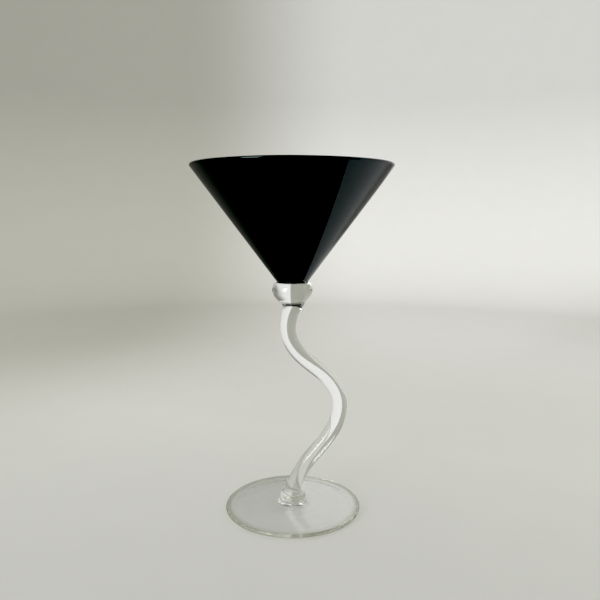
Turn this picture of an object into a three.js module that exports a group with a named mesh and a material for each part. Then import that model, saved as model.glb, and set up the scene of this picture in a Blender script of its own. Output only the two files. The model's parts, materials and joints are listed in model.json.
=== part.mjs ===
// A martini glass on a hand-bent stem, built as the glassmaker builds it: five pieces of glass, each its
// own gather, stacked on one upright axis and joined hot. Black cone bowl, clear knop, clear wavy stem,
// clear foot button, clear foot.
// Millimetres, +Z up. The origin is the centre of the circle that the foot stands on, and the stem
// swings out towards +X. Neighbouring pieces meet face to face on flat, level seats.

import * as THREE from "three";

// Foot
const footRadius = 41.75;
const footEdgeThickness = 2.8;
const footSlopeRise = 1.5; // climb of the upper face from the edge to the fillet
const footFilletHeight = 0.9; // climb of the fillet up to the seat under the button
const footFilletReach = 4.6; // how far the fillet runs out over the foot
const footSeatMargin = 0.8; // the seat stands out this far past the button
const footRingWidth = 3; // flat ring that meets the table
const footRingInset = 2.4; // the ring's outer edge, in from the foot's edge
const footHollowDepth = 1.6; // how far the underside is hollowed at the middle

// Foot button
const buttonHeight = 4.6;
const buttonBulge = 2; // its belly stands out this far past its flat faces
const buttonSeatMargin = 0.7; // its flat faces stand out this far past the rod

// Stem
const stemHeight = 120.3;
const rodRadiusTop = 4.85;
const rodRadiusFoot = 4.4;
const stemFootRadius = 5.2; // where the rod meets the button
const stemFootFlareReach = 9;
const neckRadius = 7.6; // where the rod meets the knop
const neckFilletReach = 2.2;
const neckTaperWidth = 1; // the neck stays this much wider than the rod under its fillet
const neckTaperReach = 7; // and loses that width this gradually

// Knop
const knopRadius = 12.25;
const knopHeight = 11.7; // neck to the seat under the bowl
const knopBellyHeight = 7.5; // neck to the widest part
const knopLipHeight = 0.4; // how far its lip stands up round the bowl
const knopLipWidth = 0.55;
const seatClearance = 0.05;

// Bowl
const rimRadius = 60;
const bowlHeight = 70.2; // seat to the top of the lip
const bowlWall = 2;
const bowlSeatRadius = 8.7;
const bowlFloorThickness = 3.6;

// Fineness of the round shapes
const turnedSides = 72;
const beadSides = 48;
const curveSteps = 5;
const rodSides = 24;
const rodSteps = 60;

// The rod's centre line is drawn through its turning points, from the knop down to the button. Each one
// has its swing sideways in millimetres, its height as a share of the stem, its heading in degrees off
// straight down, and how far the line holds that heading before and after it, as shares of the stem.
const bends = [
  { swing: 0, height: 1, heading: 0, before: 0, after: 0.03 },
  { swing: -2.8, height: 0.87, heading: 0, before: 0.06, after: 0.09 },
  { swing: 14.4, height: 0.663, heading: 52.5, before: 0.102, after: 0.075 },
  { swing: 29.3, height: 0.464, heading: 0, before: 0.088, after: 0.096 },
  { swing: 12.1, height: 0.198, heading: -41, before: 0.105, after: 0.053 },
  { swing: 0, height: 0, heading: 0, before: 0.048, after: 0 },
];

// Levels and radii that follow from the sizes above
const buttonSeatZ = footEdgeThickness + footSlopeRise + footFilletHeight;
const stemSeatZ = buttonSeatZ + buttonHeight;
const neckZ = stemSeatZ + stemHeight;
const bowlSeatZ = neckZ + knopHeight;
const rimZ = bowlSeatZ + bowlHeight;
const buttonSeatRadius = stemFootRadius + buttonSeatMargin;
const buttonRadius = buttonSeatRadius + buttonBulge;
const footSeatRadius = buttonRadius + footSeatMargin;

// The bowl's wall runs straight from the edge of its seat until it meets the round lip.
const lipRadius = bowlWall / 2;
const lipCentre = new THREE.Vector2(rimRadius - lipRadius, rimZ - lipRadius);
const seatToLip = lipCentre.clone().sub(new THREE.Vector2(bowlSeatRadius, bowlSeatZ));
const wallAngle = Math.atan2(seatToLip.x, seatToLip.y) + Math.asin(lipRadius / seatToLip.length());
const wallNormal = new THREE.Vector2(Math.cos(wallAngle), -Math.sin(wallAngle));

const clearGlass = () => new THREE.MeshStandardMaterial({ color: 0xdfe3dc, roughness: 0.04, metalness: 0 });
const blackGlass = () => new THREE.MeshStandardMaterial({ color: 0x050809, roughness: 0.05, metalness: 0 });

// Turns a profile of radius against height about the upright axis.
function turned(name, profile, sides, material) {
  const geometry = new THREE.LatheGeometry(profile.getPoints(curveSteps), sides);
  geometry.rotateX(Math.PI / 2);
  const mesh = new THREE.Mesh(geometry, material);
  mesh.name = name;
  return mesh;
}

function foot() {
  const ringOuter = footRadius - footRingInset;
  const ringInner = ringOuter - footRingWidth;
  const edgeShoulder = footRadius - footEdgeThickness / 2;
  const filletOuter = footSeatRadius + footFilletReach;
  const filletFootZ = footEdgeThickness + footSlopeRise;
  const profile = new THREE.Path();
  profile.moveTo(0, footHollowDepth);
  profile.bezierCurveTo(ringInner / 2, footHollowDepth, ringInner * 0.85, footHollowDepth / 2, ringInner, 0);
  profile.lineTo(ringOuter, 0);
  profile.quadraticCurveTo(footRadius, 0, footRadius, footEdgeThickness / 2);
  profile.quadraticCurveTo(footRadius, footEdgeThickness, edgeShoulder, footEdgeThickness);
  profile.lineTo(filletOuter, filletFootZ);
  profile.quadraticCurveTo(footSeatRadius, filletFootZ, footSeatRadius, buttonSeatZ);
  profile.lineTo(0, buttonSeatZ);
  return turned("foot", profile, turnedSides, clearGlass());
}

function footButton() {
  const middleZ = (buttonSeatZ + stemSeatZ) / 2;
  const profile = new THREE.Path();
  profile.moveTo(0, buttonSeatZ);
  profile.lineTo(buttonSeatRadius, buttonSeatZ);
  profile.quadraticCurveTo(buttonRadius, buttonSeatZ, buttonRadius, middleZ);
  profile.quadraticCurveTo(buttonRadius, stemSeatZ, buttonSeatRadius, stemSeatZ);
  profile.lineTo(0, stemSeatZ);
  return turned("foot_button", profile, beadSides, clearGlass());
}

function stemLine() {
  const line = new THREE.CurvePath();
  for (let i = 1; i < bends.length; i++) {
    const [upper, lower] = [bends[i - 1], bends[i]];
    const start = bendPoint(upper, 0);
    const end = bendPoint(lower, 0);
    const leaving = bendPoint(upper, upper.after);
    const arriving = bendPoint(lower, -lower.before);
    line.add(new THREE.CubicBezierCurve3(start, leaving, arriving, end));
  }
  return line;
}

// A point on a bend's own heading, a share of the stem's height along from its turning point.
function bendPoint(bend, along) {
  const heading = THREE.MathUtils.degToRad(bend.heading);
  const reach = along * stemHeight;
  const x = bend.swing + reach * Math.sin(heading);
  const z = stemSeatZ + bend.height * stemHeight - reach * Math.cos(heading);
  return new THREE.Vector3(x, 0, z);
}

// The rod thins a little on its way down. It opens into a fillet at each end, and under the knop's fillet
// its neck tapers more gradually.
function rodRadius(share, length) {
  const fromNeck = share * length;
  const plain = THREE.MathUtils.lerp(rodRadiusTop, rodRadiusFoot, share);
  const neckTaper = neckTaperWidth * Math.exp(-fromNeck / neckTaperReach);
  const neckFilletWidth = neckRadius - rodRadiusTop - neckTaperWidth;
  const neckFillet = neckFilletWidth * Math.exp(-fromNeck / neckFilletReach);
  const footFlare = (stemFootRadius - rodRadiusFoot) * Math.exp((fromNeck - length) / stemFootFlareReach);
  return plain + neckTaper + neckFillet + footFlare;
}

// A rod of unit radius is swept along the line, then each ring is opened to its own radius. The two end
// rings are laid level on their seats.
function stem() {
  const line = stemLine();
  const section = new THREE.Shape().absarc(0, 0, 1, 0, 2 * Math.PI);
  const sweep = { steps: rodSteps, curveSegments: rodSides / 2, bevelEnabled: false, extrudePath: line };
  const geometry = new THREE.ExtrudeGeometry(section, sweep);
  const centres = line.getSpacedPoints(rodSteps);
  const seatLevels = new Map([[0, neckZ], [rodSteps, stemSeatZ]]);
  const vertices = geometry.getAttribute("position");
  const vertex = new THREE.Vector3();
  for (let i = 0; i < vertices.count; i++) {
    vertex.fromBufferAttribute(vertices, i);
    const ring = nearest(centres, vertex);
    vertex.sub(centres[ring]).setLength(rodRadius(ring / rodSteps, line.getLength())).add(centres[ring]);
    vertex.z = seatLevels.get(ring) ?? vertex.z;
    vertices.setXYZ(i, vertex.x, vertex.y, vertex.z);
  }
  geometry.computeVertexNormals();
  const mesh = new THREE.Mesh(geometry, clearGlass());
  mesh.name = "stem";
  return mesh;
}

function nearest(centres, point) {
  const distances = centres.map((centre) => centre.distanceToSquared(point));
  return distances.indexOf(Math.min(...distances));
}

// A squat ball, fuller above than below, with a shallow dish in its top that the bowl's point sits in.
function knop() {
  const bellyZ = neckZ + knopBellyHeight;
  const lipZ = bowlSeatZ + knopLipHeight;
  const clearance = seatClearance / Math.cos(wallAngle);
  const dishRadius = bowlSeatRadius + clearance;
  const dishMouth = dishRadius + knopLipHeight * Math.tan(wallAngle);
  const lipEdge = dishMouth + knopLipWidth;
  const shoulder = lipEdge + (knopRadius - lipEdge) * 0.4;
  const profile = new THREE.Path();
  profile.moveTo(0, neckZ);
  profile.lineTo(neckRadius, neckZ);
  profile.bezierCurveTo(
    neckRadius + 0.6 * (knopRadius - neckRadius), neckZ + 0.39 * knopBellyHeight,
    knopRadius, bellyZ - 0.32 * knopBellyHeight,
    knopRadius, bellyZ,
  );
  profile.bezierCurveTo(knopRadius, THREE.MathUtils.lerp(bellyZ, lipZ, 0.46), shoulder, lipZ, lipEdge, lipZ);
  profile.lineTo(dishMouth, lipZ);
  profile.lineTo(dishRadius, bowlSeatZ);
  profile.lineTo(0, bowlSeatZ);
  return turned("knop", profile, turnedSides, clearGlass());
}

// A straight cone of even thickness with a fire-rounded lip. The inside ends in a round well over a
// thicker floor, and the round is the one that leaves the wall smoothly.
function bowl() {
  const innerLip = lipCentre.clone().addScaledVector(wallNormal, -lipRadius);
  const innerPointZ = innerLip.y - innerLip.x / Math.tan(wallAngle);
  const wellZ = bowlSeatZ + bowlFloorThickness;
  const wellRadius = (wellZ - innerPointZ) / (1 / Math.sin(wallAngle) - 1);
  const profile = new THREE.Path();
  profile.moveTo(0, bowlSeatZ);
  profile.lineTo(bowlSeatRadius, bowlSeatZ);
  profile.absarc(lipCentre.x, lipCentre.y, lipRadius, -wallAngle, Math.PI - wallAngle, false);
  profile.absarc(0, wellZ + wellRadius, wellRadius, -wallAngle, -Math.PI / 2, true);
  return turned("bowl", profile, turnedSides, blackGlass());
}

const glass = new THREE.Group();
glass.name = "martini_glass";
glass.add(foot(), footButton(), stem(), knop(), bowl());

export default glass;
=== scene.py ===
"""A martini glass in black and clear glass, with a hand-bent stem.

Each piece is shaped as it is at the furnace. The bowl, knop, foot button and foot are turned from an
outline by one Geometry Nodes tree, and the stem is a rod drawn along its bends by another. Where two
clear pieces are fused, the faces inside the join let light straight through, so they read as one glass.
All lengths are in metres, and the upright axis is Z.
"""

import json
import math

import bpy
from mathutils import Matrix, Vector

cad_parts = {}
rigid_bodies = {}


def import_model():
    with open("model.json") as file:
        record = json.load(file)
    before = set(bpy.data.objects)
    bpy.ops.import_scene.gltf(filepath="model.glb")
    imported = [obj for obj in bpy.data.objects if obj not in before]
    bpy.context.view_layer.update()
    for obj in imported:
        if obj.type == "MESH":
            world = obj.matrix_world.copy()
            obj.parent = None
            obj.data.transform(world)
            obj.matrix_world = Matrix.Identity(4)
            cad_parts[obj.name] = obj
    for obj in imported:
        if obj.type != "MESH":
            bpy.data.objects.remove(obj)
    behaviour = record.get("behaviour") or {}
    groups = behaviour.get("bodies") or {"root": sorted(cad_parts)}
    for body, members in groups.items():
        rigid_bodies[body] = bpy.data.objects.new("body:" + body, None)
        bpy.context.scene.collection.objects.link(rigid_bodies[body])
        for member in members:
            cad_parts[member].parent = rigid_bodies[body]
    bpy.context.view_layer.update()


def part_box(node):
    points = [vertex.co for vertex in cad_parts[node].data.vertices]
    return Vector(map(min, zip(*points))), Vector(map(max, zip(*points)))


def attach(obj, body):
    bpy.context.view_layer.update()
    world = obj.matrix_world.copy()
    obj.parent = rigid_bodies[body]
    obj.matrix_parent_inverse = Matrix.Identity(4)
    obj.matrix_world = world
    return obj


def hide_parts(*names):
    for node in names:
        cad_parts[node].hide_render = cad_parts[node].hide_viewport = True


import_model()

MM = 0.001

# ---------------------------------------------------------------------------------------------------
# Levels and radii, from the frame
# ---------------------------------------------------------------------------------------------------

foot_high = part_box("foot")[1]
button_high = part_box("foot_button")[1]
knop_low, knop_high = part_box("knop")
bowl_low, bowl_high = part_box("bowl")

BUTTON_SEAT = foot_high.z
STEM_SEAT = button_high.z
NECK = knop_low.z
BOWL_SEAT = bowl_low.z
RIM = bowl_high.z
STEM_HEIGHT = NECK - STEM_SEAT

FOOT_RADIUS = foot_high.x
BUTTON_RADIUS = button_high.x
KNOP_RADIUS = knop_high.x
RIM_RADIUS = bowl_high.x

FOOT_EDGE = 2.8 * MM
FOOT_RISE = 1.5 * MM
FOOT_HOLLOW = 1.6 * MM
FOOT_RING_INSET = 2.4 * MM
FOOT_RING_WIDTH = 3.0 * MM
FOOT_SEAT_RADIUS = 8.7 * MM
FOOT_FILLET_REACH = 4.6 * MM
BUTTON_SEAT_RADIUS = 5.9 * MM

ROD_TOP = 4.85 * MM
ROD_FOOT = 4.4 * MM
ROD_SEAT_RADIUS = 5.2 * MM
ROD_SEAT_REACH = 9.0 * MM
NECK_RADIUS = 7.6 * MM
NECK_FILLET_REACH = 2.2 * MM
NECK_TAPER_WIDTH = 1.0 * MM
NECK_TAPER_REACH = 7.0 * MM

KNOP_BELLY = 7.5 * MM
KNOP_LIP = 0.4 * MM
KNOP_LIP_WIDTH = 0.55 * MM

BOWL_WALL = 2.0 * MM
BOWL_SEAT_RADIUS = 8.7 * MM
BOWL_FLOOR = 3.6 * MM

SEAM_GAP = 0.002 * MM  # points nearer than this, at a seam or a pole, become one
END_DEPTH = 0.01 * MM  # the rod's end faces lie within this of their seats
ROD_STEADY = 0.5 * MM  # the rod keeps its true shape this near its ends
ROD_FREE = 9 * MM  # and wanders freely from here on

# The rod's turning points, from the knop down to the button: swing sideways in millimetres, height as a
# share of the stem, heading in degrees off straight down, and how far the line holds that heading
# before and after the point, as shares of the stem.
BENDS = (
    (0.0, 1.0, 0.0, 0.0, 0.03),
    (-2.8, 0.87, 0.0, 0.06, 0.09),
    (14.4, 0.663, 52.5, 0.102, 0.075),
    (29.3, 0.464, 0.0, 0.088, 0.096),
    (12.1, 0.198, -41.0, 0.105, 0.053),
    (0.0, 0.0, 0.0, 0.048, 0.0),
)

# ---------------------------------------------------------------------------------------------------
# Node trees
# ---------------------------------------------------------------------------------------------------


class Bench:
    """A node tree, with short ways to set out its nodes and tie them together."""

    def __init__(self, tree):
        self.tree = tree

    def node(self, kind, feeds=None, **settings):
        """A new node with its settings made, and its inputs fed by name or by place."""
        made = self.tree.nodes.new(kind)
        for name, value in settings.items():
            setattr(made, name, value)
        for key, value in (feeds or {}).items():
            self.feed(self.socket(made, key), value)
        return made

    def socket(self, node, key):
        """An input in use, by its name or its place."""
        in_use = [socket for socket in node.inputs if socket.enabled]
        if isinstance(key, int):
            return in_use[key]
        return next(socket for socket in in_use if socket.name == key)

    def feed(self, socket, value):
        """Ties a socket to a node or to another socket, or sets it to a plain value."""
        if isinstance(value, bpy.types.Node):
            value = next(output for output in value.outputs if output.enabled)
        if isinstance(value, bpy.types.NodeSocket):
            self.tree.links.new(value, socket)
        else:
            socket.default_value = value

    def maths(self, operation, *terms):
        return self.node("ShaderNodeMath", dict(enumerate(terms)), operation=operation)

    def vectors(self, operation, *terms):
        return self.node("ShaderNodeVectorMath", dict(enumerate(terms)), operation=operation)

    def mixed(self, share, first, second, **settings):
        """Share of the second colour over the first, blended evenly unless the settings say otherwise."""
        feeds = {"Factor": share, "A": first, "B": second}
        return self.node("ShaderNodeMix", feeds, data_type="RGBA", **settings)

    def ramp(self, value, low, high, start=0.0, end=1.0, smooth=False):
        """Carries value from low..high over to start..end, and holds it beyond them."""
        shape = "SMOOTHSTEP" if smooth else "LINEAR"
        feeds = {"Value": value, "From Min": low, "From Max": high, "To Min": start, "To Max": end}
        return self.node("ShaderNodeMapRange", feeds, interpolation_type=shape)


def new_geometry_tree(name, inputs):
    """A Geometry Nodes tree with named inputs: name, kind of socket and starting value."""
    tree = bpy.data.node_groups.new(name, "GeometryNodeTree")
    tree.interface.new_socket("Geometry", in_out="INPUT", socket_type="NodeSocketGeometry")
    for label, kind, value in inputs:
        socket = tree.interface.new_socket(label, in_out="INPUT", socket_type="NodeSocket" + kind)
        if value is not None:
            socket.default_value = value
    tree.interface.new_socket("Geometry", in_out="OUTPUT", socket_type="NodeSocketGeometry")
    return tree


def named(bench, name):
    """A named attribute, read from the geometry."""
    return bench.node("GeometryNodeInputNamedAttribute", {"Name": name}, data_type="FLOAT")


def unevenness(bench, size, seed):
    """A slow hand-made wander between -1 and 1, one wander every size metres."""
    position = bench.node("GeometryNodeInputPosition")
    scale = bench.maths("DIVIDE", 1.0, size)
    feeds = {"Vector": position, "W": seed, "Scale": scale, "Detail": 1.0, "Roughness": 0.4}
    noise = bench.node("ShaderNodeTexNoise", feeds, noise_dimensions="4D")
    return bench.ramp(noise, 0.2, 0.8, -1.0, 1.0)


def finish_glass(bench, mesh, joined, source):
    """Smooths the glass, leaves the join faces flat, and gives each its material."""
    open_faces = bench.node("FunctionNodeBooleanMath", {0: joined}, operation="NOT")
    smooth = bench.node("GeometryNodeSetShadeSmooth", {"Geometry": mesh, "Shade Smooth": open_faces})
    real = bench.node("GeometryNodeRealizeInstances", {"Geometry": smooth})
    feeds = {"Geometry": real, "Material": source.outputs["Glass"]}
    glass = bench.node("GeometryNodeSetMaterial", feeds)
    feeds = {"Geometry": glass, "Selection": joined, "Material": source.outputs["Join"]}
    both = bench.node("GeometryNodeSetMaterial", feeds)
    bench.node("NodeGroupOutput", {"Geometry": both})


def turned_glass_tree():
    """Turns an outline about the upright axis. The outline's points carry two marks: join, 1 along a
    face that is fused to the next piece, and play, how freely the surface may wander by hand."""
    tree = new_geometry_tree(
        "turned_glass",
        (
            ("Sides", "Int", 96),
            ("Wander", "Float", 0.0),
            ("Wander Size", "Float", 0.03),
            ("Seed", "Float", 0.0),
            ("Glass", "Material", None),
            ("Join", "Material", None),
        ),
    )
    bench = Bench(tree)
    source = bench.node("NodeGroupInput")
    outline = source.outputs["Geometry"]
    rows = bench.node("GeometryNodeAttributeDomainSize", {"Geometry": outline})
    sides = source.outputs["Sides"]
    columns = bench.maths("ADD", sides, 1)
    sheet = bench.node("GeometryNodeMeshGrid", {"Vertices X": columns, "Vertices Y": rows})
    index = bench.node("GeometryNodeInputIndex")
    column = bench.maths("FLOOR", bench.maths("DIVIDE", bench.maths("ADD", index, 0.5), rows))
    row = bench.maths("SUBTRACT", index, bench.maths("MULTIPLY", column, rows))

    def from_outline(value, kind):
        feeds = {"Geometry": outline, "Value": value, "Index": row}
        return bench.node("GeometryNodeSampleIndex", feeds, data_type=kind)

    position = bench.node("GeometryNodeInputPosition")
    point = bench.node("ShaderNodeSeparateXYZ", {0: from_outline(position, "FLOAT_VECTOR")})
    angle = bench.maths("MULTIPLY", bench.maths("DIVIDE", column, sides), math.tau)
    radius = point.outputs["X"]
    across = bench.maths("MULTIPLY", radius, bench.maths("COSINE", angle))
    away = bench.maths("MULTIPLY", radius, bench.maths("SINE", angle))
    place = bench.node("ShaderNodeCombineXYZ", {"X": across, "Y": away, "Z": point.outputs["Z"]})
    shape = sheet
    for mark in ("join", "play"):
        value = from_outline(named(bench, mark), "FLOAT")
        feeds = {"Geometry": shape, "Name": mark, "Value": value}
        shape = bench.node("GeometryNodeStoreNamedAttribute", feeds, data_type="FLOAT")
    turned = bench.node("GeometryNodeSetPosition", {"Geometry": shape, "Position": place})
    closed = bench.node("GeometryNodeMergeByDistance", {"Geometry": turned, "Distance": SEAM_GAP})
    wander = unevenness(bench, source.outputs["Wander Size"], source.outputs["Seed"])
    reach = bench.maths("MULTIPLY", source.outputs["Wander"], named(bench, "play"))
    normal = bench.node("GeometryNodeInputNormal")
    shift = bench.vectors("SCALE", normal, bench.maths("MULTIPLY", wander, reach))
    handmade = bench.node("GeometryNodeSetPosition", {"Geometry": closed, "Offset": shift})
    all_corners_joined = {0: named(bench, "join"), 1: 0.9}
    joined = bench.node("FunctionNodeCompare", all_corners_joined, operation="GREATER_THAN")
    finish_glass(bench, handmade, joined, source)
    return tree


def drawn_rod_tree():
    """Draws a round rod along a curve. It thins on its way down, opens into a fillet at each end, and
    is closed by a flat face at each end."""
    tree = new_geometry_tree(
        "drawn_rod",
        (
            ("Steps", "Int", 400),
            ("Sides", "Int", 96),
            ("Top Radius", "Float", ROD_TOP),
            ("Foot Radius", "Float", ROD_FOOT),
            ("Neck Radius", "Float", NECK_RADIUS),
            ("Neck Fillet Reach", "Float", NECK_FILLET_REACH),
            ("Neck Taper Width", "Float", NECK_TAPER_WIDTH),
            ("Neck Taper Reach", "Float", NECK_TAPER_REACH),
            ("Seat Radius", "Float", ROD_SEAT_RADIUS),
            ("Seat Reach", "Float", ROD_SEAT_REACH),
            ("Wander", "Float", 0.0),
            ("Wander Size", "Float", 0.02),
            ("Seed", "Float", 0.0),
            ("Glass", "Material", None),
            ("Join", "Material", None),
        ),
    )
    bench = Bench(tree)
    source = bench.node("NodeGroupInput")
    size = source.outputs
    feeds = {"Curve": size["Geometry"], "Count": size["Steps"]}
    line = bench.node("GeometryNodeResampleCurve", feeds)
    along = bench.node("GeometryNodeSplineParameter")
    whole = bench.node("GeometryNodeSplineLength").outputs["Length"]
    run = along.outputs["Length"]
    left = bench.maths("SUBTRACT", whole, run)

    def fading(width, distance, reach):
        """A width that fades with distance, to a third of itself at reach."""
        ratio = bench.maths("DIVIDE", distance, reach)
        share = bench.maths("EXPONENT", bench.maths("MULTIPLY", ratio, -1.0))
        return bench.maths("MULTIPLY", width, share)

    plain = bench.ramp(along.outputs["Factor"], 0.0, 1.0, size["Top Radius"], size["Foot Radius"])
    neck_width = bench.maths("SUBTRACT", size["Neck Radius"], size["Top Radius"])
    fillet_width = bench.maths("SUBTRACT", neck_width, size["Neck Taper Width"])
    seat_width = bench.maths("SUBTRACT", size["Seat Radius"], size["Foot Radius"])
    taper = fading(size["Neck Taper Width"], run, size["Neck Taper Reach"])
    fillet = fading(fillet_width, run, size["Neck Fillet Reach"])
    seat = fading(seat_width, left, size["Seat Reach"])
    flare = bench.maths("ADD", taper, bench.maths("ADD", fillet, seat))
    radius = bench.maths("ADD", plain, flare)
    feeds = {"Curve": line, "Normal": (0.0, 1.0, 0.0)}
    untwisted = bench.node("GeometryNodeSetCurveNormal", feeds, mode="FREE")
    feeds = {"Resolution": size["Sides"], "Radius": 1.0}
    ring = bench.node("GeometryNodeCurvePrimitiveCircle", feeds)
    feeds = {"Curve": untwisted, "Profile Curve": ring, "Scale": radius, "Fill Caps": True}
    rod = bench.node("GeometryNodeCurveToMesh", feeds)
    position = bench.node("GeometryNodeInputPosition")
    height = bench.node("ShaderNodeSeparateXYZ", {0: position}).outputs["Z"]
    above_seat = bench.maths("SUBTRACT", height, STEM_SEAT)
    below_neck = bench.maths("SUBTRACT", NECK, height)
    nearest = bench.maths("MINIMUM", above_seat, below_neck)
    play = bench.ramp(nearest, ROD_STEADY, ROD_FREE, smooth=True)
    wander = unevenness(bench, size["Wander Size"], size["Seed"])
    reach = bench.maths("MULTIPLY", size["Wander"], play)
    normal = bench.node("GeometryNodeInputNormal")
    shift = bench.vectors("SCALE", normal, bench.maths("MULTIPLY", wander, reach))
    handmade = bench.node("GeometryNodeSetPosition", {"Geometry": rod, "Offset": shift})
    joined = bench.node("FunctionNodeCompare", {0: nearest, 1: END_DEPTH}, operation="LESS_THAN")
    finish_glass(bench, handmade, joined, source)
    return tree


def made_from(host, tree, inputs):
    """Runs the tree on the host object and keeps the result as a plain mesh in its place."""
    maker = host.modifiers.new(tree.name, "NODES")
    maker.node_group = tree
    for item in tree.interface.items_tree:
        if item.in_out == "INPUT" and item.name in inputs:
            maker[item.identifier] = inputs[item.name]
    bpy.context.view_layer.update()
    evaluated = host.evaluated_get(bpy.context.evaluated_depsgraph_get())
    mesh = bpy.data.meshes.new_from_object(evaluated)
    name = host.name
    outline = host.data
    host.modifiers.remove(maker)
    bpy.data.objects.remove(host)
    bpy.data.batch_remove([outline])
    mesh.name = name
    piece = bpy.data.objects.new(name, mesh)
    bpy.context.scene.collection.objects.link(piece)
    return piece


# ---------------------------------------------------------------------------------------------------
# Materials
# ---------------------------------------------------------------------------------------------------

GLASS_IOR = 1.5


def new_material(name):
    """An empty material, with the bench for its nodes and the output that they lead to."""
    material = bpy.data.materials.new(name)
    material.use_nodes = True
    material.node_tree.nodes.clear()
    bench = Bench(material.node_tree)
    output = bench.node("ShaderNodeOutputMaterial")
    return material, bench, output


def cloudy(bench, place, scale, detail=2.0):
    """Soft clouds of noise, scale of them to the metre."""
    return bench.node("ShaderNodeTexNoise", {"Vector": place, "Scale": scale, "Detail": detail})


def clear_glass(name, casts, light_cast, rim_tint=None, rim_from=0.0, rim_to=0.0):
    """Hand-worked clear glass: a faint cast that comes and goes between two tones, soft ripples from the
    tools, and a slightly uneven polish. A spun piece has a rim tint as well, which deepens from rim_from
    to rim_to, measured out from the axis, and faint rings left by the spinning."""
    material, bench, output = new_material(name)
    place = bench.node("ShaderNodeTexCoord").outputs["Object"]
    cast = bench.mixed(cloudy(bench, place, 90.0), *casts)
    polish = bench.ramp(cloudy(bench, place, 240.0, 4.0), 0.35, 0.75, 0.0, 0.03)
    ripple = cloudy(bench, place, 120.0, 1.0)
    if rim_tint:
        from_axis = bench.vectors("LENGTH", bench.vectors("MULTIPLY", place, (1.0, 1.0, 0.0)))
        cast = bench.mixed(bench.ramp(from_axis, rim_from, rim_to, smooth=True), cast, rim_tint)
        rings = {"Vector": place, "Scale": 42.0, "Distortion": 3.0, "Detail": 2.0, "Detail Scale": 18.0}
        spun = bench.node("ShaderNodeTexWave", rings, wave_type="RINGS", rings_direction="Z")
        ripple = bench.maths("ADD", ripple, bench.maths("MULTIPLY", spun, 0.3))
    bump = bench.node("ShaderNodeBump", {"Strength": 0.25, "Distance": 0.25 * MM, "Height": ripple})
    glass = bench.node(
        "ShaderNodeBsdfPrincipled",
        {
            "Base Color": cast,
            "Roughness": polish,
            "IOR": GLASS_IOR,
            "Transmission Weight": 1.0,
            "Normal": bump,
        },
    )
    light_through = bench.node("ShaderNodeBsdfTransparent", {"Color": passed_light(bench, light_cast)})
    shadow_ray = bench.node("ShaderNodeLightPath").outputs["Is Shadow Ray"]
    both = bench.node("ShaderNodeMixShader", {0: shadow_ray, 1: glass, 2: light_through})
    bench.feed(output.inputs["Surface"], both)
    return material


def passed_light(bench, light_cast):
    """How much lamplight a face of the glass lets through, so that the glass casts the pale shadow of
    clear glass and not a solid one. Some light is turned away where it enters, and none where it leaves."""
    inside = bench.node("ShaderNodeNewGeometry").outputs["Backfacing"]
    going_in = bench.maths("SUBTRACT", 1.0, inside)
    bounced = bench.maths("MULTIPLY", bench.node("ShaderNodeFresnel", {"IOR": GLASS_IOR}), going_in)
    return bench.mixed(bounced, light_cast, (0.0, 0.0, 0.0, 1.0))


def fused_join():
    """The inside of a hot join between two clear pieces: light passes straight on."""
    material, bench, output = new_material("fused_join")
    bench.feed(output.inputs["Surface"], bench.node("ShaderNodeBsdfTransparent"))
    return material


def black_glass():
    """Dense black glass, with a cool cast in its shine and a soft unevenness from blowing."""
    material, bench, output = new_material("black_glass")
    place = bench.node("ShaderNodeTexCoord").outputs["Object"]
    depth = bench.mixed(
        cloudy(bench, place, 30.0), (0.0006, 0.0010, 0.0012, 1.0), (0.0012, 0.0020, 0.0022, 1.0)
    )
    polish = bench.ramp(cloudy(bench, place, 160.0, 4.0), 0.35, 0.75, 0.015, 0.06)
    swell = cloudy(bench, place, 40.0, 1.0)
    bump = bench.node("ShaderNodeBump", {"Strength": 0.2, "Distance": 0.3 * MM, "Height": swell})
    glass = bench.node(
        "ShaderNodeBsdfPrincipled",
        {
            "Base Color": depth,
            "Roughness": polish,
            "IOR": GLASS_IOR,
            "Specular IOR Level": 0.3,
            "Specular Tint": (0.72, 0.96, 1.0, 1.0),
            "Normal": bump,
        },
    )
    bench.feed(output.inputs["Surface"], glass)
    return material


def black_join():
    """The black glass where it is sunk in the clear knop: no shine, since there is no air over it."""
    material, bench, output = new_material("black_join")
    place = bench.node("ShaderNodeTexCoord").outputs["Object"]
    depth = bench.mixed(
        cloudy(bench, place, 60.0), (0.0006, 0.0010, 0.0012, 1.0), (0.0016, 0.0020, 0.0020, 1.0)
    )
    dull = {"Base Color": depth, "Roughness": 0.8, "Specular IOR Level": 0.0}
    glass = bench.node("ShaderNodeBsdfPrincipled", dull)
    bench.feed(output.inputs["Surface"], glass)
    return material


# ---------------------------------------------------------------------------------------------------
# Outlines
# ---------------------------------------------------------------------------------------------------


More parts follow.
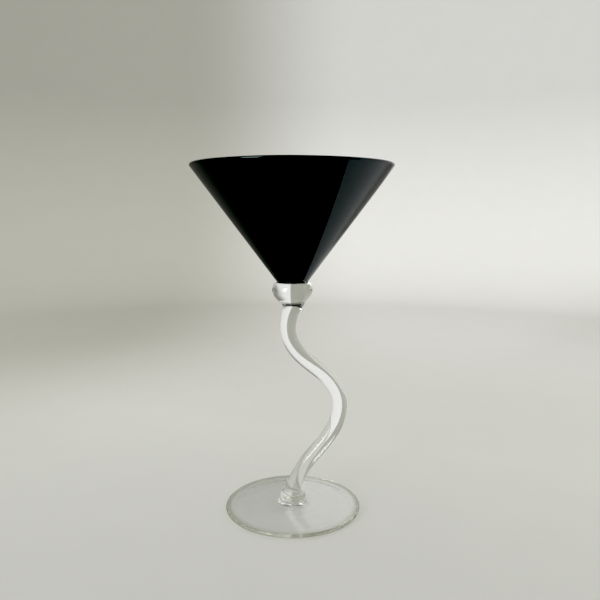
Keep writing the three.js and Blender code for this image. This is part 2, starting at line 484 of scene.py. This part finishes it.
class Outline:
    """Radius against height, drawn from the axis at the bottom, outwards, up, and back to the axis."""

    def __init__(self, radius, height, join=0.0, play=0.0):
        self.points = [(radius, height)]
        self.marks = [(join, play)]

    def add(self, radius, height, join, play):
        self.points.append((radius, height))
        self.marks.append((join, play))

    def start_join(self):
        """From the last point on, the outline is fused to the next piece."""
        self.marks[-1] = (1.0, 0.0)

    def line(self, radius, height, steps=1, join=0.0, play=(0.0, 0.0)):
        """A straight run to radius and height, along which the play goes from one value to another."""
        from_radius, from_height = self.points[-1]
        for i in range(1, steps + 1):
            share = i / steps
            way = play[0] + (play[1] - play[0]) * share
            self.add(
                from_radius + (radius - from_radius) * share,
                from_height + (height - from_height) * share,
                join,
                way,
            )

    def curve(self, *handles, steps=16, play=(0.0, 0.0)):
        """A Bezier curve from the last point through its handles, the last of which is its end."""
        controls = [self.points[-1], *handles]
        for i in range(1, steps + 1):
            share = i / steps
            level = controls
            while len(level) > 1:
                pairs = zip(level, level[1:])
                level = [tuple(a + (b - a) * share for a, b in zip(p, q)) for p, q in pairs]
            self.add(*level[0], 0.0, play[0] + (play[1] - play[0]) * share)

    def arc(self, radius, height, size, start, end, steps=16, play=(0.0, 0.0)):
        """A round of the given size about radius and height, between two angles."""
        for i in range(1, steps + 1):
            share = i / steps
            angle = start + (end - start) * share
            self.add(
                radius + size * math.cos(angle),
                height + size * math.sin(angle),
                0.0,
                play[0] + (play[1] - play[0]) * share,
            )

    def host(self, name):
        """The outline as an object of loose edges, for turned_glass to turn."""
        mesh = bpy.data.meshes.new(name)
        vertices = [(radius, 0.0, height) for radius, height in self.points]
        edges = [(i, i + 1) for i in range(len(vertices) - 1)]
        mesh.from_pydata(vertices, edges, [])
        for label, place in (("join", 0), ("play", 1)):
            attribute = mesh.attributes.new(label, "FLOAT", "POINT")
            attribute.data.foreach_set("value", [mark[place] for mark in self.marks])
        host = bpy.data.objects.new(name, mesh)
        bpy.context.scene.collection.objects.link(host)
        return host


def foot_outline():
    """A disc that stands on a flat ring, is hollowed inside it, and climbs to the button's seat."""
    ring_outer = FOOT_RADIUS - FOOT_RING_INSET
    ring_inner = ring_outer - FOOT_RING_WIDTH
    fillet_outer = FOOT_SEAT_RADIUS + FOOT_FILLET_REACH
    slope_top = FOOT_EDGE + FOOT_RISE
    outline = Outline(0.0, FOOT_HOLLOW, play=1.0)
    outline.curve(
        (ring_inner / 2, FOOT_HOLLOW),
        (ring_inner * 0.85, FOOT_HOLLOW / 2),
        (ring_inner, 0.0),
        steps=40,
        play=(1.0, 0.0),
    )
    outline.line(ring_outer, 0.0, steps=4)
    outline.curve((FOOT_RADIUS, 0.0), (FOOT_RADIUS, FOOT_EDGE / 2))
    outline.curve((FOOT_RADIUS, FOOT_EDGE), (FOOT_RADIUS - FOOT_EDGE / 2, FOOT_EDGE))
    outline.line(fillet_outer, slope_top, steps=32, play=(0.0, 1.0))
    outline.curve(
        (FOOT_SEAT_RADIUS, slope_top), (FOOT_SEAT_RADIUS, BUTTON_SEAT), steps=16, play=(1.0, 0.0)
    )
    outline.line(BUTTON_SEAT_RADIUS, BUTTON_SEAT, steps=3)
    outline.start_join()
    outline.line(0.0, BUTTON_SEAT, join=1.0)
    return outline


def button_outline():
    """A flattened bead between two flat faces."""
    middle = (BUTTON_SEAT + STEM_SEAT) / 2
    outline = Outline(0.0, BUTTON_SEAT, join=1.0)
    outline.line(BUTTON_SEAT_RADIUS, BUTTON_SEAT, join=1.0)
    outline.curve((BUTTON_RADIUS, BUTTON_SEAT), (BUTTON_RADIUS, middle), play=(0.0, 1.0))
    outline.curve((BUTTON_RADIUS, STEM_SEAT), (BUTTON_SEAT_RADIUS, STEM_SEAT), play=(1.0, 0.0))
    outline.line(ROD_SEAT_RADIUS, STEM_SEAT)
    outline.start_join()
    outline.line(0.0, STEM_SEAT, join=1.0)
    return outline


# The bowl's wall runs straight from the edge of its seat until it meets the round lip.
LIP_SIZE = BOWL_WALL / 2
LIP = (RIM_RADIUS - LIP_SIZE, RIM - LIP_SIZE)
SEAT_TO_LIP = (LIP[0] - BOWL_SEAT_RADIUS, LIP[1] - BOWL_SEAT)
WALL_ANGLE = math.atan2(*SEAT_TO_LIP) + math.asin(LIP_SIZE / math.hypot(*SEAT_TO_LIP))


def knop_outline():
    """A squat ball, fuller above than below. The shares place the handles of its two curves."""
    belly = NECK + KNOP_BELLY
    lip = BOWL_SEAT + KNOP_LIP
    mouth = BOWL_SEAT_RADIUS + KNOP_LIP * math.tan(WALL_ANGLE)
    lip_edge = mouth + KNOP_LIP_WIDTH
    shoulder = lip_edge + (KNOP_RADIUS - lip_edge) * 0.4
    outline = Outline(0.0, NECK, join=1.0)
    outline.line(NECK_RADIUS, NECK, join=1.0)
    outline.curve(
        (NECK_RADIUS + 0.6 * (KNOP_RADIUS - NECK_RADIUS), NECK + 0.39 * KNOP_BELLY),
        (KNOP_RADIUS, belly - 0.32 * KNOP_BELLY),
        (KNOP_RADIUS, belly),
        steps=28,
        play=(0.0, 1.0),
    )
    outline.curve(
        (KNOP_RADIUS, belly + 0.46 * (lip - belly)),
        (shoulder, lip),
        (lip_edge, lip),
        steps=28,
        play=(1.0, 0.0),
    )
    outline.line(mouth, lip)
    outline.start_join()
    outline.line(BOWL_SEAT_RADIUS, BOWL_SEAT, join=1.0)
    outline.line(0.0, BOWL_SEAT, join=1.0)
    return outline


def bowl_outline():
    """A straight cone of even thickness with a fire-rounded lip. The inside ends in a round well over
    a thicker floor, and the round is the one that leaves the wall smoothly."""
    inner_lip = (LIP[0] - LIP_SIZE * math.cos(WALL_ANGLE), LIP[1] + LIP_SIZE * math.sin(WALL_ANGLE))
    inner_point = inner_lip[1] - inner_lip[0] / math.tan(WALL_ANGLE)
    well = BOWL_SEAT + BOWL_FLOOR
    well_size = (well - inner_point) / (1 / math.sin(WALL_ANGLE) - 1)
    sunk = KNOP_LIP * 0.98  # just short of the knop's lip
    outline = Outline(0.0, BOWL_SEAT, join=1.0)
    outline.line(BOWL_SEAT_RADIUS, BOWL_SEAT, join=1.0)
    outline.line(BOWL_SEAT_RADIUS + sunk * math.tan(WALL_ANGLE), BOWL_SEAT + sunk, join=1.0)
    start = -WALL_ANGLE
    outer_lip = (LIP[0] + LIP_SIZE * math.cos(start), LIP[1] + LIP_SIZE * math.sin(start))
    outline.line(*outer_lip, steps=60, play=(0.0, 1.0))
    outline.arc(*LIP, LIP_SIZE, start, math.pi - WALL_ANGLE, steps=20, play=(1.0, 1.0))
    inner_end = (well_size * math.cos(start), well + well_size + well_size * math.sin(start))
    outline.line(*inner_end, steps=60, play=(1.0, 1.0))
    outline.arc(0.0, well + well_size, well_size, start, -math.pi / 2, steps=20, play=(1.0, 1.0))
    return outline


def stem_curve(name):
    """The rod's centre line: a Bezier curve through its turning points."""
    curve = bpy.data.curves.new(name, "CURVE")
    curve.dimensions = "3D"
    curve.resolution_u = 48
    spline = curve.splines.new("BEZIER")
    spline.bezier_points.add(len(BENDS) - 1)
    for point, (swing, height, heading, before, after) in zip(spline.bezier_points, BENDS):
        turn = math.radians(heading)
        centre = (swing * MM, 0.0, STEM_SEAT + height * STEM_HEIGHT)
        along = (math.sin(turn) * STEM_HEIGHT, 0.0, -math.cos(turn) * STEM_HEIGHT)
        point.handle_left_type = "FREE"
        point.handle_right_type = "FREE"
        point.co = centre
        point.handle_left = [c - before * a for c, a in zip(centre, along)]
        point.handle_right = [c + after * a for c, a in zip(centre, along)]
    host = bpy.data.objects.new(name, curve)
    bpy.context.scene.collection.objects.link(host)
    return host


# ---------------------------------------------------------------------------------------------------
# The pieces
# ---------------------------------------------------------------------------------------------------

turned_glass = turned_glass_tree()
drawn_rod = drawn_rod_tree()

faint_olive = ((0.985, 0.99, 0.975, 1.0), (0.965, 0.972, 0.95, 1.0))
nearly_white = ((1.0, 1.0, 0.998, 1.0), (0.99, 0.995, 0.985, 1.0))
rim_olive = (0.68, 0.69, 0.60, 1.0)
RIM_OLIVE_WIDTH = 4.5 * MM

clear = clear_glass("clear_glass", faint_olive, (0.985, 0.985, 0.975, 1.0))
spun_clear = clear_glass(
    "foot_glass", nearly_white, (1.0, 1.0, 1.0, 1.0), rim_olive, FOOT_RADIUS - RIM_OLIVE_WIDTH, FOOT_RADIUS
)
join = fused_join()


def glass_piece(host, tree, sides, wander, wander_size, seed, glass=clear, fused=join):
    """One piece of the glass, in clear glass unless told otherwise. Its surface wanders by up to wander,
    over stretches of wander_size."""
    sizes = {"Sides": sides, "Wander": wander, "Wander Size": wander_size, "Seed": seed}
    return made_from(host, tree, {**sizes, "Glass": glass, "Join": fused})


bowl = glass_piece(
    bowl_outline().host("bowl_glass"),
    turned_glass,
    sides=192,
    wander=0.12 * MM,
    wander_size=0.04,
    seed=3.0,
    glass=black_glass(),
    fused=black_join(),
)
knop = glass_piece(
    knop_outline().host("knop_glass"),
    turned_glass,
    sides=96,
    wander=0.10 * MM,
    wander_size=0.012,
    seed=5.0,
)
stem = glass_piece(
    stem_curve("stem_glass"),
    drawn_rod,
    sides=96,
    wander=0.10 * MM,
    wander_size=0.018,
    seed=7.0,
)
button = glass_piece(
    button_outline().host("foot_button_glass"),
    turned_glass,
    sides=96,
    wander=0.08 * MM,
    wander_size=0.01,
    seed=11.0,
)
foot = glass_piece(
    foot_outline().host("foot_glass"),
    turned_glass,
    sides=192,
    wander=0.10 * MM,
    wander_size=0.03,
    seed=13.0,
    glass=spun_clear,
)

for piece, node, finish in (
    (bowl, "bowl", "black_glass"),
    (knop, "knop", "clear_glass"),
    (stem, "stem", "clear_glass"),
    (button, "foot_button", "clear_glass"),
    (foot, "foot", "clear_glass"),
):
    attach(piece, "root")
    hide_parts(node)

# ---------------------------------------------------------------------------------------------------
# The studio
# ---------------------------------------------------------------------------------------------------

GLASS_MIDDLE = (0.0, 0.0, 0.11)

FLOOR_LEVEL = -0.1 * MM  # just under the foot, so that the two never share a face
FLOOR_REACH = 0.55
SWEEP_RADIUS = 1.4
SWEEP_BEND = 0.35  # the curve up from floor to wall, as a share of the sweep's radius
SWEEP_HEIGHT = 1.6

# The floor tone is the sweep's own pale colour; the rear, left and right tones paint light and shade onto
# it.
FLOOR_TONE = (0.63, 0.637, 0.62, 1.0)
REAR_PAINTED_LIGHT_TONE = (0.80, 0.807, 0.79, 1.0)
LEFT_PAINTED_SHADE_TONE = (0.56, 0.56, 0.51, 1.0)
RIGHT_PAINTED_LIGHT_TONE = (0.93, 0.93, 0.93, 1.0)

# The side cards meet at a corner behind the glass, and each runs forward from it along its own way.
CORNER = (7.4 * MM, 165.8 * MM)
RIGHT_WAY = (0.668, -0.744)
LEFT_WAY = (-0.736, -0.676)
CARD_HEIGHT = 0.42


def plain_tone(colour):
    """The same colour all over a card."""
    return lambda bench, place: colour


def sweep_painted_light_tone(bench, place):
    """The sweep's colour, with light and shade painted into it. Round the glass it lightens from the front
    to the rear, a painted light. Further out it drifts to a dim left side and a bright right side, a
    painted shade and a painted light."""
    rearward = bench.vectors("DOT_PRODUCT", place, (0.35, 0.9, 0.0))
    near = bench.mixed(bench.ramp(rearward, -0.16, 0.12), FLOOR_TONE, REAR_PAINTED_LIGHT_TONE)
    across = bench.node("ShaderNodeSeparateXYZ", {0: place}).outputs["X"]
    sides = bench.mixed(bench.ramp(across, -0.30, 0.16, smooth=True), LEFT_PAINTED_SHADE_TONE, RIGHT_PAINTED_LIGHT_TONE)
    out = bench.vectors("LENGTH", place)
    return bench.mixed(bench.ramp(out, 0.14, FLOOR_REACH * 1.2, smooth=True), near, sides)


def pale_card(name, tone, painted_wall_shade=0.0, painted_reflection_shade=0.0):
    """Matte pale card with a very faint mottle. Shade is painted into its colour: it is darker where it
    stands upright, and darker where the glass reflects it, each by its own share."""
    material, bench, output = new_material(name)
    place = bench.node("ShaderNodeTexCoord").outputs["Object"]
    normal = bench.node("ShaderNodeNewGeometry").outputs["Normal"]
    level = bench.node("ShaderNodeSeparateXYZ", {0: normal}).outputs["Z"]
    upright = bench.maths("SUBTRACT", 1.0, bench.maths("ABSOLUTE", level))
    ray = bench.node("ShaderNodeLightPath").outputs
    reflected = bench.maths("SUBTRACT", ray["Is Glossy Ray"], ray["Is Transmission Ray"])
    # Painted shade: darker where the card stands upright, and a painted darker reflection where the glass
    # reflects it.
    painted_upright_shade = bench.maths("MULTIPLY", upright, painted_wall_shade)
    painted_reflection_dimming = bench.maths("MULTIPLY", reflected, painted_reflection_shade)
    kept = bench.maths("SUBTRACT", 1.0, bench.maths("MAXIMUM", painted_upright_shade, painted_reflection_dimming))
    mottle = bench.ramp(cloudy(bench, place, 25.0, 5.0), 0.3, 0.7, 0.985, 1.0)
    mottle_and_painted_shade = bench.maths("MULTIPLY", kept, mottle)
    colour = bench.mixed(1.0, tone(bench, place), mottle_and_painted_shade, blend_type="MULTIPLY")
    matte = {"Base Color": colour, "Roughness": 0.9, "Specular IOR Level": 0.1}
    bench.feed(output.inputs["Surface"], bench.node("ShaderNodeBsdfPrincipled", matte))
    return material


def studio_mesh(name, vertices, faces, material):
    """Something that stands round the glass and isn't part of it."""
    mesh = bpy.data.meshes.new(name)
    mesh.from_pydata(vertices, [], faces)
    mesh.materials.append(material)
    thing = bpy.data.objects.new(name, mesh)
    bpy.context.scene.collection.objects.link(thing)
    return thing


def seen_by_glass_only(name, corners, material):
    """A flat panel that only the glass sees, in its reflections and through itself, so it never stands
    between the camera and the glass."""
    panel = studio_mesh(name, corners, [(0, 1, 2, 3)], material)
    panel.visible_camera = False
    panel.visible_diffuse = False
    panel.visible_shadow = False
    return panel


def side_card(name, way, length, material):
    """An upright card that runs from the corner along way."""
    end = (CORNER[0] + way[0] * length, CORNER[1] + way[1] * length)
    low = -1.0 * MM
    corners = [(*CORNER, low), (*end, low), (*end, CARD_HEIGHT), (*CORNER, CARD_HEIGHT)]
    return seen_by_glass_only(name, corners, material)


def floor_disc(name, radius, material, sides=96):
    angles = [math.tau * i / sides for i in range(sides)]
    vertices = [(radius * math.cos(angle), radius * math.sin(angle), FLOOR_LEVEL) for angle in angles]
    return studio_mesh(name, vertices, [tuple(range(sides))], material)


def round_sweep(name, inner, radius, height, material, sides=96, steps=24):
    """A flat floor, from inner outwards, that curves up all round into a wall. Only the camera sees it."""
    rows = [(inner, FLOOR_LEVEL)]
    bend = radius * SWEEP_BEND
    for i in range(steps + 1):
        angle = -math.pi / 2 + i / steps * math.pi / 2
        rows.append((radius - bend + bend * math.cos(angle), FLOOR_LEVEL + bend + bend * math.sin(angle)))
    rows.append((radius, height))
    vertices = []
    for row_radius, row_height in rows:
        for i in range(sides):
            angle = math.tau * i / sides
            vertices.append((row_radius * math.cos(angle), row_radius * math.sin(angle), row_height))
    faces = []
    for row in range(len(rows) - 1):
        for i in range(sides):
            after = (i + 1) % sides
            low, high = row * sides, (row + 1) * sides
            faces.append((low + i, high + i, high + after, low + after))
    sweep = studio_mesh(name, vertices, faces, material)
    sweep.data.shade_smooth()
    sweep.visible_glossy = False
    sweep.visible_transmission = False
    sweep.visible_diffuse = False
    sweep.visible_shadow = False
    return sweep


def directions(azimuth, elevation):
    """Unit vectors for something that faces the glass from azimuth and elevation, in degrees: out from
    the glass towards it, level across it, and up it."""
    turn = math.radians(azimuth)
    rise = math.radians(elevation)
    away = (math.cos(rise) * math.cos(turn), math.cos(rise) * math.sin(turn), math.sin(rise))
    side = (-math.sin(turn), math.cos(turn), 0.0)
    up = (-math.sin(rise) * math.cos(turn), -math.sin(rise) * math.sin(turn), math.cos(rise))
    return away, side, up


def soft_glow(name, strength):
    """Light that is even over the middle of a panel and fades out towards its edges. Nothing that has
    met a matte surface sees it, because the lamp lights those."""
    material, bench, output = new_material(name)
    place = bench.node("ShaderNodeTexCoord").outputs["UV"]
    offset = bench.vectors("ABSOLUTE", bench.vectors("SUBTRACT", place, (0.5, 0.5, 0.0)))
    offsets = bench.node("ShaderNodeSeparateXYZ", {0: offset}).outputs
    out = bench.maths("MAXIMUM", offsets["X"], offsets["Y"])
    matte_bounces = bench.node("ShaderNodeLightPath").outputs["Diffuse Depth"]
    direct = bench.maths("SUBTRACT", 1.0, bench.maths("MINIMUM", matte_bounces, 1.0))
    glow = bench.maths("MULTIPLY", bench.ramp(out, 0.3, 0.5, strength, 0.0, smooth=True), direct)
    lit = bench.node("ShaderNodeEmission", {"Color": (1.0, 0.995, 0.98, 1.0), "Strength": glow})
    bench.feed(output.inputs["Surface"], lit)
    material.cycles.emission_sampling = "NONE"
    return material


def window_pane(name, azimuth, elevation, distance, width, tall, strength):
    """What the glass sees of the window: a soft-edged patch of light."""
    axes = directions(azimuth, elevation)
    corners = []
    for across, over in ((-0.5, -0.5), (0.5, -0.5), (0.5, 0.5), (-0.5, 0.5)):
        right, high = across * width, over * tall
        parts = zip(GLASS_MIDDLE, *axes)
        corners.append(tuple(m + distance * a + right * s + high * u for m, a, s, u in parts))
    pane = seen_by_glass_only(name, corners, soft_glow(name, strength))
    layer = pane.data.uv_layers.new(name="UVMap")
    layer.data.foreach_set("uv", (0.0, 0.0, 1.0, 0.0, 1.0, 1.0, 0.0, 1.0))
    return pane


def soft_window(name, azimuth, elevation, distance, width, tall, power, colour):
    """A big soft lamp, aimed at the middle of the glass, that lights the matte surfaces only."""
    light = bpy.data.lights.new(name, "AREA")
    light.shape = "RECTANGLE"
    light.size = width
    light.size_y = tall
    light.energy = power
    light.color = colour
    lamp = bpy.data.objects.new(name, light)
    away = directions(azimuth, elevation)[0]
    lamp.location = [middle + distance * part for middle, part in zip(GLASS_MIDDLE, away)]
    lamp.rotation_euler = (math.radians(90.0 - elevation), 0.0, math.radians(azimuth + 90.0))
    lamp.visible_camera = False
    lamp.visible_glossy = False
    lamp.visible_transmission = False
    bpy.context.scene.collection.objects.link(lamp)
    return lamp


def room_air(name):
    """The light of the room all round: bright on the matte surfaces, dim in the glass's reflections, and
    in between where it is seen through the glass."""
    world = bpy.data.worlds.new(name)
    world.use_nodes = True
    world.node_tree.nodes.clear()
    bench = Bench(world.node_tree)
    ray = bench.node("ShaderNodeLightPath").outputs
    for_shade = bench.node("ShaderNodeBackground", {"Color": (1.0, 0.985, 0.90, 1.0), "Strength": 0.58})
    seen = bench.ramp(ray["Is Transmission Ray"], 0.0, 1.0, 0.06, 0.26)
    for_glass = bench.node("ShaderNodeBackground", {"Color": (1.0, 0.95, 0.82, 1.0), "Strength": seen})
    shading = bench.maths("MINIMUM", ray["Diffuse Depth"], 1.0)
    room = bench.node("ShaderNodeMixShader", {0: shading, 1: for_glass, 2: for_shade})
    bench.node("ShaderNodeOutputWorld", {"Surface": room})
    world.cycles.sampling_method = "NONE"
    return world


# The floor and sweep carry painted light and shade, painted shade where upright and a painted darker
# reflection; the left card a painted darker reflection.
painted_light_sweep = pale_card("painted_light_sweep", sweep_painted_light_tone, painted_wall_shade=0.33, painted_reflection_shade=0.7)
right_card = pale_card("right_card", plain_tone((0.60, 0.60, 0.605, 1.0)))
left_card = pale_card("left_card", plain_tone((0.61, 0.62, 0.585, 1.0)), painted_reflection_shade=0.6)

floor_disc("floor", FLOOR_REACH, painted_light_sweep)
round_sweep("backdrop", FLOOR_REACH, SWEEP_RADIUS, SWEEP_HEIGHT, painted_light_sweep)
side_card("right_card", RIGHT_WAY, length=0.34, material=right_card)
side_card("left_card", LEFT_WAY, length=0.42, material=left_card)
window_pane(
    "window_pane",
    azimuth=226.0,
    elevation=22.0,
    distance=1.1,
    width=0.46,
    tall=0.95,
    strength=9.0,
)
soft_window(
    "window",
    azimuth=228.0,
    elevation=13.5,
    distance=3.0,
    width=0.93,
    tall=0.44,
    power=92.0,
    colour=(0.98, 0.99, 1.0),
)

# ---------------------------------------------------------------------------------------------------
# The camera
# ---------------------------------------------------------------------------------------------------

EYE_PLACE = (4.55 * MM, -379.3 * MM, 182.1 * MM)
EYE_DIP = 7.6  # degrees below level

eye = bpy.data.cameras.new("camera")
eye.sensor_width = 36.0
eye.lens = 37.92
eye.clip_start = 0.01
camera = bpy.data.objects.new("camera", eye)
camera.location = EYE_PLACE
camera.rotation_euler = (math.radians(90.0 - EYE_DIP), 0.0, 0.0)

scene = bpy.context.scene
scene.collection.objects.link(camera)
scene.camera = camera
scene.world = room_air("studio")
scene.view_settings.view_transform = "Standard"
scene.view_settings.use_curve_mapping = True
curve = scene.view_settings.curve_mapping
curve.black_level = (0.017, 0.017, 0.017)
curve.update()
scene.cycles.use_denoising = True
scene.cycles.blur_glossy = 0.0

# Light bounces many times inside the foot's rim before it comes out.
scene.cycles.max_bounces = 40
scene.cycles.transmission_bounces = 40
scene.cycles.glossy_bounces = 32
scene.cycles.transparent_max_bounces = 24
